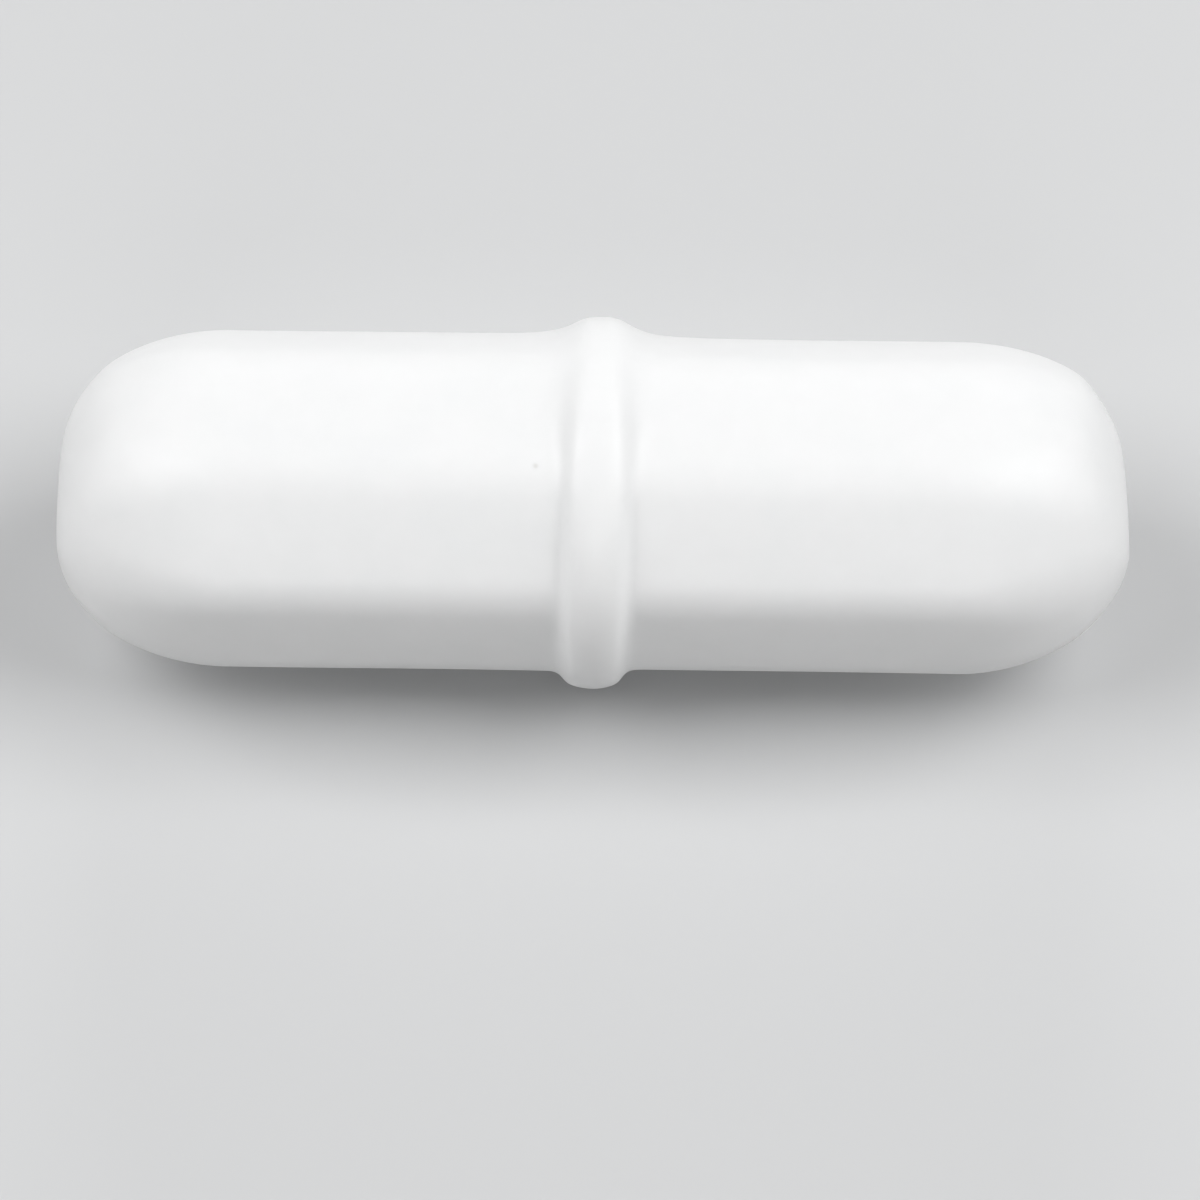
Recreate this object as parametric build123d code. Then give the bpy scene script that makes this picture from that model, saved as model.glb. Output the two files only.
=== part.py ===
from build123d import *
import math
import os

# Octagonal magnetic stir bar with a pivot ring, in millimetres.
# A bar magnet is sealed in one seamless white PTFE moulding: an octagonal bar whose
# eight sides fade into round domed ends, with a round ring at mid-length.
# The bar is modelled along X about its own centre. Last of all it is raised to stand on
# its ring, with the surface at Z = 0 and the origin at the ring's lowest point.

# Jacket
BAR_LENGTH = 25.4
ACROSS_FLATS = 7.7
SIDES = 8
EDGE_RADIUS = 1.8
DOME_LENGTH = 3.95
END_FLAT_DIAMETER = 2.5
TIP_ROUND_SHARE = 0.9
DOME_STEPS = 5

# Pivot ring, which stands proud of the flats
RING_HEIGHT = 0.57
RING_CREST_WIDTH = 0.97
RING_FLANK_ANGLE = 55
RING_SKIRT_ANGLE = 15
ROOT_RISE_SHARE = 0.18
SKIRT_SINK_SHARE = 0.25
CREST_RADIUS_SHARE = 1.0
ROOT_RADIUS_SHARE = 0.81

# Magnet and the walls that seal it in
SIDE_WALL = 1.42
END_WALL = 3.125
MAGNET_CLEARANCE = 0.05
MAGNET_CHAMFER = 0.3

# Sizes that follow from the ones above
flat_radius = ACROSS_FLATS / 2
end_radius = END_FLAT_DIAMETER / 2
dome_start = BAR_LENGTH / 2 - DOME_LENGTH
ring_radius = flat_radius + RING_HEIGHT
crest_radius = CREST_RADIUS_SHARE * RING_HEIGHT
root_radius = ROOT_RADIUS_SHARE * RING_HEIGHT
cavity_diameter = ACROSS_FLATS - 2 * SIDE_WALL
cavity_length = BAR_LENGTH - 2 * END_WALL


def bar_section(station, inner_radius, corner_radius):
    """The octagon across the bar at a station along it, a flat side down, corners rounded."""
    octagon = RegularPolygon(inner_radius, SIDES, major_radius=False, rotation=180 / SIDES)
    rounded = fillet(octagon.vertices(), corner_radius)
    return Plane.YZ.offset(station) * rounded


def dome_section(step):
    """One section of the +X end, which shrinks along an ellipse and grows rounder to the tip."""
    angle = math.radians(90 * step / DOME_STEPS)
    along = math.sin(angle)
    inner_radius = end_radius + (flat_radius - end_radius) * math.cos(angle)
    corner_radius = EDGE_RADIUS * (1 - along) + TIP_ROUND_SHARE * inner_radius * along
    return bar_section(dome_start + DOME_LENGTH * along, inner_radius, corner_radius)


def octagonal_bar():
    """The straight octagon and its two domed ends."""
    straight = extrude(bar_section(-dome_start, flat_radius, EDGE_RADIUS), 2 * dome_start, dir=(1, 0, 0))
    dome = loft([dome_section(step) for step in range(DOME_STEPS + 1)])
    return straight + dome + mirror(dome, about=Plane.YZ)


def pivot_ring():
    """The ring, turned about the bar's axis: round-shouldered crest, hollow root, low skirt."""
    crest = RING_CREST_WIDTH / 2
    root_height = flat_radius + ROOT_RISE_SHARE * RING_HEIGHT
    root = crest + (ring_radius - root_height) / math.tan(math.radians(RING_FLANK_ANGLE))
    skirt_height = flat_radius - SKIRT_SINK_SHARE * RING_HEIGHT
    skirt = root + (root_height - skirt_height) / math.tan(math.radians(RING_SKIRT_ANGLE))
    outline = Polyline(
        (-skirt, 0),
        (-skirt, skirt_height),
        (-root, root_height),
        (-crest, ring_radius),
        (crest, ring_radius),
        (root, root_height),
        (skirt, skirt_height),
        (skirt, 0),
        close=True,
    )
    profile = make_face(outline)
    profile = fillet(corners_at(profile, ring_radius), crest_radius)
    profile = fillet(corners_at(profile, root_height), root_radius)
    return revolve(Plane.XZ * profile, Axis.X)


def corners_at(profile, height):
    """The corners of a profile that lie at one height."""
    return [corner for corner in profile.vertices() if math.isclose(corner.Y, height)]


def chamfered_rod(diameter, length, edge):
    """A plain cylinder along the bar with chamfered ends."""
    rod = Cylinder(diameter / 2, length, rotation=(0, 90, 0))
    return chamfer(rod.edges().filter_by(GeomType.CIRCLE), edge)


bar_magnet = chamfered_rod(
    cavity_diameter - 2 * MAGNET_CLEARANCE,
    cavity_length - 2 * MAGNET_CLEARANCE,
    MAGNET_CHAMFER,
)
cavity = chamfered_rod(cavity_diameter, cavity_length, MAGNET_CHAMFER)
ptfe_jacket = octagonal_bar() + pivot_ring() - cavity

stand = Pos(0, 0, ring_radius)

os.makedirs("parts", exist_ok=True)
export_step(stand * ptfe_jacket, "parts/ptfe_jacket.step")
export_step(stand * bar_magnet, "parts/bar_magnet.step")
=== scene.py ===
import math

import bmesh
import bpy
from mathutils import Matrix, Vector, noise


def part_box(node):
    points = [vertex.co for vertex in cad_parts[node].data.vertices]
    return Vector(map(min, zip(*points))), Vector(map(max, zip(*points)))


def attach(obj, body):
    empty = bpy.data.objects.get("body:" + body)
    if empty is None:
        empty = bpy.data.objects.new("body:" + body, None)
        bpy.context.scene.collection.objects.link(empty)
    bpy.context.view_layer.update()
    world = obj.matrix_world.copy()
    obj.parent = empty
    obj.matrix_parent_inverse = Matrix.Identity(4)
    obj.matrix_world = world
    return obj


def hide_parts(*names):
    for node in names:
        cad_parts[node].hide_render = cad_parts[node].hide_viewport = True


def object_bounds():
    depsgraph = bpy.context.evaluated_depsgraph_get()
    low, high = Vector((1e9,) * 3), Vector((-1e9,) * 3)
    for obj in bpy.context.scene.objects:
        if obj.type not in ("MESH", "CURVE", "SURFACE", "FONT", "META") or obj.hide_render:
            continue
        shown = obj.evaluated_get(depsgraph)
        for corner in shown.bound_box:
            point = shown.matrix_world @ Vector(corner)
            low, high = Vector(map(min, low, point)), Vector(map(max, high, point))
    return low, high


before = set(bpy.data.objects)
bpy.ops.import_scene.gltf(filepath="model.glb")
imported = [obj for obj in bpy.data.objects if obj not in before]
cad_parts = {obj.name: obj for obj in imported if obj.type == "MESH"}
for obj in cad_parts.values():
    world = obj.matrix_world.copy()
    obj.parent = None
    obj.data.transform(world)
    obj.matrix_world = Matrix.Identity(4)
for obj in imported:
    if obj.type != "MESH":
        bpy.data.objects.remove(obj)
cad_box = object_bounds()

# A white PTFE stir bar: eight crowned sides that fade into round domed ends, a soft pivot ring at
# mid-length and a sealed magnet. Lengths are in metres, in the frame's own axes, with the bar along X
# and its front towards -Y.
MM = 0.001

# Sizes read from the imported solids
jacket_low, jacket_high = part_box("ptfe_jacket")
bar_centre = (jacket_low + jacket_high) / 2
half_length = (jacket_high.x - jacket_low.x) / 2
ring_radius = (jacket_high.z - jacket_low.z) / 2

# Form of the moulding
SIDES = 8
ACROSS_FLATS = 7.7 * MM
EDGE_RADIUS = 1.8 * MM
CROWN_SHARE = 4.0
DOME_LENGTH = 3.95 * MM
END_FLAT_DIAMETER = 2.5 * MM
TIP_ROUND_SHARE = 0.9
RING_HALF_WIDTH = 0.75 * MM
RING_SHARPNESS = 11.0
RING_CROWN_SHARE = 0.42
RING_BACK_HALF_WIDTH = 0.8 * MM
RING_BACK_SHARPNESS = 3.2
RING_BACK_RANGE = (-0.1, 0.7)

# Unevenness of the one bar that is shown
MINUS_HALF_SHARE = 1.0075
PLUS_HALF_SHARE = 0.9925
HALVES_BLEND = 1.0 * MM
RING_OFFSET = 0.08 * MM
RING_LEAN = math.radians(0.8)
MINUS_END_SLANT = math.radians(2.5)
PLUS_END_SLANT = math.radians(4.5)
SLANT_DEPTH = 1.4 * MM
PLUS_END_RISE = 0.1 * MM
WAVE_LENGTH = 4.0 * MM
WAVE_HEIGHT = 0.012 * MM

# Density of the mesh
SIDE_STEPS = 6
CORNER_STEPS = 10
DOME_LOOPS = 36
STRAIGHT_LOOPS = 150
RING_DENSITY_SHARE = 0.35
CAP_LOOPS = 5

# Surface of the PTFE and of the magnet
NOISE_DETAIL = 3.0
NOISE_RANGE = (0.3, 0.7)
PTFE_COLOUR = (0.93, 0.94, 0.945)
PTFE_SHADE = (0.905, 0.912, 0.915)
PTFE_ROUGHNESS = (0.3, 0.42)
PTFE_IOR = 1.35
PTFE_SCATTER_SHARE = 0.6
PTFE_SCATTER_LENGTH = 0.35 * MM
SHADE_STOP = 0.4
MOTTLE_LENGTH = 1.6 * MM
STREAK_LENGTH = 0.3 * MM
STREAK_STRETCH = 8.0
STREAK_DEPTH = 0.002 * MM
GRAIN_LENGTH = 0.12 * MM
GRAIN_DEPTH = 0.001 * MM
SPECK_COLOUR = (0.8, 0.8, 0.79)
SPECK_STATION = -1.36 * MM
SPECK_TURN = math.radians(14.7)
SPECK_RADIUS = 0.13 * MM
SPECK_CORE_SHARE = 0.2
ALLOY_COLOUR = (0.46, 0.46, 0.47)
ALLOY_SHADE = (0.36, 0.36, 0.37)
ALLOY_ROUGHNESS = (0.35, 0.55)
CAST_LENGTH = 0.5 * MM
CAST_DEPTH = 0.01 * MM

# Camera, as in a photograph taken from above the bar's front
IMAGE_WIDTH = 1200
PIXELS_PER_METRE = 42.1 / MM
BAR_PIXEL = (593.6, 502.8)
CAMERA_DISTANCE = 200 * MM
CAMERA_NEAREST = 2 * MM
CAMERA_ELEVATION = math.radians(59.5)
CAMERA_ROLL = math.radians(0.8)
SENSOR_WIDTH = 36.0

# Studio
FLOOR_SIZE = 4.0
FLOOR_COLOUR = (0.66, 0.665, 0.67)
FLOOR_BOUNCE_COLOUR = (0.42, 0.42, 0.42)
WORLD_COLOUR = (0.95, 0.97, 1.0)
WORLD_STRENGTH = 0.01
LAMP_DISTANCE = 220 * MM

# Softboxes: bearing from +X towards +Y and elevation in degrees, size, radiance,
# and whether the gloss mirrors it
SOFTBOXES = {
    "front_softbox": (-90, 25, 150 * MM, 1.5, True),
    "back_softbox": (90, 12, 90 * MM, 7.0, False),
    "minus_high_softbox": (180, 55, 150 * MM, 3.7, True),
    "plus_high_softbox": (0, 55, 150 * MM, 4.2, True),
    "minus_low_softbox": (180, 15, 110 * MM, 1.9, True),
    "plus_low_softbox": (0, 15, 110 * MM, 2.1, True),
}

# Derived sizes
side_turn = 2 * math.pi / SIDES
flat_radius = ACROSS_FLATS / 2
end_radius = END_FLAT_DIAMETER / 2
dome_start = half_length - DOME_LENGTH


def outward(turn):
    """Direction square to the bar, turned from the top towards the front."""
    return Vector((0, -math.sin(turn), math.cos(turn)))


view_up = outward(-CAMERA_ELEVATION)


def smooth_share(value, first, last):
    """0 up to first and 1 from last, with a smooth rise between them."""
    share = min(max((value - first) / (last - first), 0), 1)
    return share * share * (3 - 2 * share)


def arc(centre, radius, first, last, steps):
    """Points on an arc square to the bar, without its last one."""
    return [centre + outward(first + (last - first) * step / steps) * radius for step in range(steps)]


def section(inner_radius, corner_radius):
    """Points round the bar: slightly crowned sides, joined by tangent corner arcs."""
    crown = CROWN_SHARE * inner_radius
    turn = side_turn / 2
    corner_half = math.asin(math.sin(turn) * (crown - inner_radius) / (crown - corner_radius))
    side_half = turn - corner_half
    points = []
    for side in range(SIDES):
        facing = side * side_turn
        side_centre = outward(facing) * (inner_radius - crown)
        corner_centre = side_centre + outward(facing + side_half) * (crown - corner_radius)
        side_end = facing + side_half
        next_side = facing + side_turn - side_half
        points += arc(side_centre, crown, facing - side_half, side_end, SIDE_STEPS)
        points += arc(corner_centre, corner_radius, side_end, next_side, CORNER_STEPS)
    return points


def dome_loop(step):
    """Station and section radii of one loop of a dome, which grows rounder to the tip."""
    angle = math.pi / 2 * step / DOME_LOOPS
    along = math.sin(angle)
    inner_radius = end_radius + (flat_radius - end_radius) * math.cos(angle)
    corner_radius = EDGE_RADIUS * (1 - along) + TIP_ROUND_SHARE * inner_radius * along
    return dome_start + DOME_LENGTH * along, inner_radius, corner_radius


def bar_loops():
    """Every loop from the -X tip to the +X tip, closest together at the ring."""
    domes = [dome_loop(step) for step in range(DOME_LOOPS + 1)]
    loops = [(-station, inner, corner) for station, inner, corner in reversed(domes)]
    for step in range(1, STRAIGHT_LOOPS):
        share = 2 * step / STRAIGHT_LOOPS - 1
        station = dome_start * (RING_DENSITY_SHARE * share + (1 - RING_DENSITY_SHARE) * share**3)
        loops.append((station, flat_radius, EDGE_RADIUS))
    return loops + domes


def ring_share(station, point):
    """How far a point is raised to the ring: 1 at the top of its crowned crest and 0 well away from it."""
    back = smooth_share(point.normalized().dot(view_up), *RING_BACK_RANGE)
    place = RING_OFFSET + math.tan(RING_LEAN) * point.dot(view_up)
    half_width = RING_HALF_WIDTH + (RING_BACK_HALF_WIDTH - RING_HALF_WIDTH) * back
    sharpness = RING_SHARPNESS + (RING_BACK_SHARPNESS - RING_SHARPNESS) * back
    reach = abs(station - place) / half_width
    crown = 1 - RING_CROWN_SHARE * (1 - back) * min(reach, 1) ** 2
    return crown / (1 + reach**sharpness)


def skin_point(station, point):
    """A section's point with the halves' own sizes, the ring, the slanted tips and the slight waviness."""
    plus = smooth_share(station, -HALVES_BLEND, HALVES_BLEND)
    point = point * (MINUS_HALF_SHARE + (PLUS_HALF_SHARE - MINUS_HALF_SHARE) * plus)
    raised = ring_share(station, point)
    wave = noise.noise((Vector((station, 0, 0)) + point) / WAVE_LENGTH) * WAVE_HEIGHT
    radius = point.length
    point = point * (1 + raised * (ring_radius / radius - 1) + (1 - raised) * wave / radius)
    tip = smooth_share(abs(station), half_length - SLANT_DEPTH, half_length)
    slant = PLUS_END_SLANT if station > 0 else MINUS_END_SLANT
    setback = math.tan(slant) * (point.dot(view_up) + end_radius) * tip
    rise = PLUS_END_RISE * smooth_share(station, dome_start, half_length)
    return Vector((station - math.copysign(setback, station), 0, 0)) + point + view_up * rise


def tip_cap(mesh, loop):
    """Closes a tip with loops that shrink to its middle."""
    middle = sum((vert.co for vert in loop), Vector()) / len(loop)
    outer = loop
    for step in range(1, CAP_LOOPS):
        share = step / CAP_LOOPS
        inner = [mesh.verts.new(vert.co.lerp(middle, share)) for vert in loop]
        bridge(mesh, outer, inner)
        outer = inner
    centre = mesh.verts.new(middle)
    for first, second in zip(outer, outer[1:] + outer[:1]):
        mesh.faces.new((first, second, centre))


def bridge(mesh, first, second):
    """A band of faces between two loops."""
    for index, vert in enumerate(first):
        mesh.faces.new((first[index - 1], vert, second[index], second[index - 1]))


def jacket_skin():
    """The jacket's whole outside as one closed mesh."""
    mesh = bmesh.new()
    loops = []
    for station, inner_radius, corner_radius in bar_loops():
        points = [skin_point(station, point) for point in section(inner_radius, corner_radius)]
        loops.append([mesh.verts.new(bar_centre + point) for point in points])
    for first, second in zip(loops, loops[1:]):
        bridge(mesh, first, second)
    tip_cap(mesh, loops[0])
    tip_cap(mesh, loops[-1])
    bmesh.ops.recalc_face_normals(mesh, faces=mesh.faces)
    data = bpy.data.meshes.new("jacket_skin")
    mesh.to_mesh(data)
    mesh.free()
    data.shade_smooth()
    skin = bpy.data.objects.new("jacket_skin", data)
    bpy.context.scene.collection.objects.link(skin)
    return skin


def new_material(name):
    """A material with its node tree and shader."""
    material = bpy.data.materials.new(name)
    material.use_nodes = True
    return material, material.node_tree, material.node_tree.nodes["Principled BSDF"]


def set_inputs(node, **values):
    """Sets a node's inputs by their names, written with underscores."""
    for name, value in values.items():
        node.inputs[name.replace("_", " ")].default_value = value


def add_math(tree, operation, first, second):
    """The result of a sum on two outputs."""
    node = tree.nodes.new("ShaderNodeMath")
    node.operation = operation
    tree.links.new(first, node.inputs[0])
    tree.links.new(second, node.inputs[1])
    return node.outputs["Value"]


def add_range(tree, value, source, target):
    """A value carried over from one range to another, and held within it."""
    node = tree.nodes.new("ShaderNodeMapRange")
    set_inputs(node, From_Min=source[0], From_Max=source[1], To_Min=target[0], To_Max=target[1])
    tree.links.new(value, node.inputs["Value"])
    return node.outputs["Result"]


def add_ramp(tree, factor, stops):
    """A colour that follows a factor through stops of place and colour."""
    node = tree.nodes.new("ShaderNodeValToRGB")
    elements = node.color_ramp.elements
    while len(elements) < len(stops):
        elements.new(1)
    for element, (place, colour) in zip(elements, stops):
        element.position = place
        element.color = (*colour, 1)
    tree.links.new(factor, node.inputs["Fac"])
    return node.outputs["Color"]


def add_noise(tree, length, stretch=1.0):
    """Noise of a given grain length, drawn out along the bar by a share of stretch."""
    place = tree.nodes.new("ShaderNodeTexCoord")
    mapping = tree.nodes.new("ShaderNodeMapping")
    set_inputs(mapping, Scale=(1 / stretch, 1, 1))
    texture = tree.nodes.new("ShaderNodeTexNoise")
    set_inputs(texture, Scale=1 / length, Detail=NOISE_DETAIL)
    tree.links.new(place.outputs["Object"], mapping.inputs["Vector"])
    tree.links.new(mapping.outputs["Vector"], texture.inputs["Vector"])
    return texture.outputs["Fac"]


def add_bump(tree, height, depth, normal=None):
    """A bump of a given depth, on top of another one if there is one."""
    node = tree.nodes.new("ShaderNodeBump")
    set_inputs(node, Strength=1.0, Distance=depth)
    tree.links.new(height, node.inputs["Height"])
    if normal:
        tree.links.new(normal, node.inputs["Normal"])
    return node.outputs["Normal"]


def speck_place():
    """The spot on the skin, at the speck's station, that faces the speck's turn."""
    facing = max(section(flat_radius, EDGE_RADIUS), key=outward(SPECK_TURN).dot)
    return bar_centre + skin_point(SPECK_STATION, facing)


def add_speck(tree, place, radius):
    """0 in the middle of a speck and 1 outside it."""
    coordinates = tree.nodes.new("ShaderNodeTexCoord")
    distance = tree.nodes.new("ShaderNodeVectorMath")
    distance.operation = "DISTANCE"
    distance.inputs[1].default_value = place
    tree.links.new(coordinates.outputs["Object"], distance.inputs[0])
    return add_range(tree, distance.outputs["Value"], (radius * SPECK_CORE_SHARE, radius), (0, 1))


def ptfe_material():
    """Waxy white PTFE: soft scatter, satin gloss, faint mottle, drawn streaks, fine grain and a dark speck."""
    material, tree, shader = new_material("ptfe")
    set_inputs(
        shader,
        IOR=PTFE_IOR,
        Subsurface_Weight=PTFE_SCATTER_SHARE,
        Subsurface_Radius=(1.0, 1.0, 1.0),
        Subsurface_Scale=PTFE_SCATTER_LENGTH,
    )
    mottle = add_range(tree, add_noise(tree, MOTTLE_LENGTH), NOISE_RANGE, (SHADE_STOP, 1))
    shade = add_math(tree, "MULTIPLY", mottle, add_speck(tree, speck_place(), SPECK_RADIUS))
    stops = ((0, SPECK_COLOUR), (SHADE_STOP, PTFE_SHADE), (1, PTFE_COLOUR))
    streaks = add_noise(tree, STREAK_LENGTH, stretch=STREAK_STRETCH)
    grain = add_bump(tree, add_noise(tree, GRAIN_LENGTH), GRAIN_DEPTH)
    tree.links.new(add_ramp(tree, shade, stops), shader.inputs["Base Color"])
    tree.links.new(add_range(tree, streaks, NOISE_RANGE, PTFE_ROUGHNESS), shader.inputs["Roughness"])
    tree.links.new(add_bump(tree, streaks, STREAK_DEPTH, grain), shader.inputs["Normal"])
    return material


def magnet_material():
    """Ground grey magnet alloy with a coarse cast grain."""
    material, tree, shader = new_material("magnet_alloy")
    set_inputs(shader, Metallic=1.0)
    grain = add_noise(tree, CAST_LENGTH)
    marks = add_noise(tree, STREAK_LENGTH, stretch=STREAK_STRETCH)
    tree.links.new(add_ramp(tree, grain, ((0, ALLOY_SHADE), (1, ALLOY_COLOUR))), shader.inputs["Base Color"])
    tree.links.new(add_range(tree, marks, NOISE_RANGE, ALLOY_ROUGHNESS), shader.inputs["Roughness"])
    tree.links.new(add_bump(tree, grain, CAST_DEPTH), shader.inputs["Normal"])
    return material


def floor_material():
    """Plain matt floor, pale where it is seen or mirrored and darker in the light that it throws back."""
    material, tree, shader = new_material("floor")
    set_inputs(shader, Roughness=1.0, Specular_IOR_Level=0.0)
    path = tree.nodes.new("ShaderNodeLightPath")
    mirrored = add_math(tree, "ADD", path.outputs["Is Glossy Ray"], path.outputs["Is Transmission Ray"])
    seen = add_math(tree, "ADD", path.outputs["Is Camera Ray"], mirrored)
    colour = add_ramp(tree, seen, ((0, FLOOR_BOUNCE_COLOUR), (1, FLOOR_COLOUR)))
    tree.links.new(colour, shader.inputs["Base Color"])
    return material


def add_floor():
    """The surface that the bar stands on."""
    bpy.ops.mesh.primitive_plane_add(size=FLOOR_SIZE, location=(0, 0, cad_box[0].z))
    floor = bpy.context.object
    floor.name = "floor"
    floor.data.materials.append(floor_material())


def add_softbox(name, bearing, elevation, size, radiance, mirrored):
    """A square soft lamp of a given radiance that faces the bar."""
    lamp = bpy.data.lights.new(name, "AREA")
    lamp.shape = "SQUARE"
    lamp.size = size
    lamp.energy = radiance * math.pi * size * size
    turn, rise = math.radians(bearing), math.radians(elevation)
    away = Vector((math.cos(turn) * math.cos(rise), math.sin(turn) * math.cos(rise), math.sin(rise)))
    softbox = bpy.data.objects.new(name, lamp)
    softbox.location = bar_centre + away * LAMP_DISTANCE
    softbox.rotation_euler = away.to_track_quat("Z", "Y").to_euler()
    softbox.visible_camera = False
    softbox.visible_glossy = mirrored
    bpy.context.scene.collection.objects.link(softbox)


def add_world():
    """Dim even light from all round."""
    world = bpy.data.worlds.new("studio")
    bpy.context.scene.world = world
    world.use_nodes = True
    background = world.node_tree.nodes["Background"]
    background.inputs["Color"].default_value = (*WORLD_COLOUR, 1)
    background.inputs["Strength"].default_value = WORLD_STRENGTH


def add_camera():
    """Looks down on the bar's front, with the bar at its own place in the square frame."""
    data = bpy.data.cameras.new("camera")
    data.sensor_width = SENSOR_WIDTH
    data.lens = SENSOR_WIDTH * CAMERA_DISTANCE * PIXELS_PER_METRE / IMAGE_WIDTH
    data.clip_start = CAMERA_NEAREST
    data.clip_end = FLOOR_SIZE
    back = outward(math.pi / 2 - CAMERA_ELEVATION)
    axes = Matrix((Vector((1, 0, 0)), view_up, back)).transposed()
    turned = axes @ Matrix.Rotation(CAMERA_ROLL, 3, "Z")
    right, up = turned.col[0], turned.col[1]
    aside = (IMAGE_WIDTH / 2 - BAR_PIXEL[0]) / PIXELS_PER_METRE
    below = (BAR_PIXEL[1] - IMAGE_WIDTH / 2) / PIXELS_PER_METRE
    target = bar_centre + right * aside + up * below
    camera = bpy.data.objects.new("camera", data)
    camera.matrix_world = Matrix.Translation(target + back * CAMERA_DISTANCE) @ turned.to_4x4()
    bpy.context.scene.collection.objects.link(camera)
    bpy.context.scene.camera = camera


skin = jacket_skin()
skin.data.materials.append(ptfe_material())
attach(skin, "root")
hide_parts("ptfe_jacket")

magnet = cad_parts["bar_magnet"]
magnet.data.materials.clear()
magnet.data.materials.append(magnet_material())

add_floor()
add_world()
for name, values in SOFTBOXES.items():
    add_softbox(name, *values)
add_camera()
bpy.context.scene.view_settings.view_transform = "Standard"
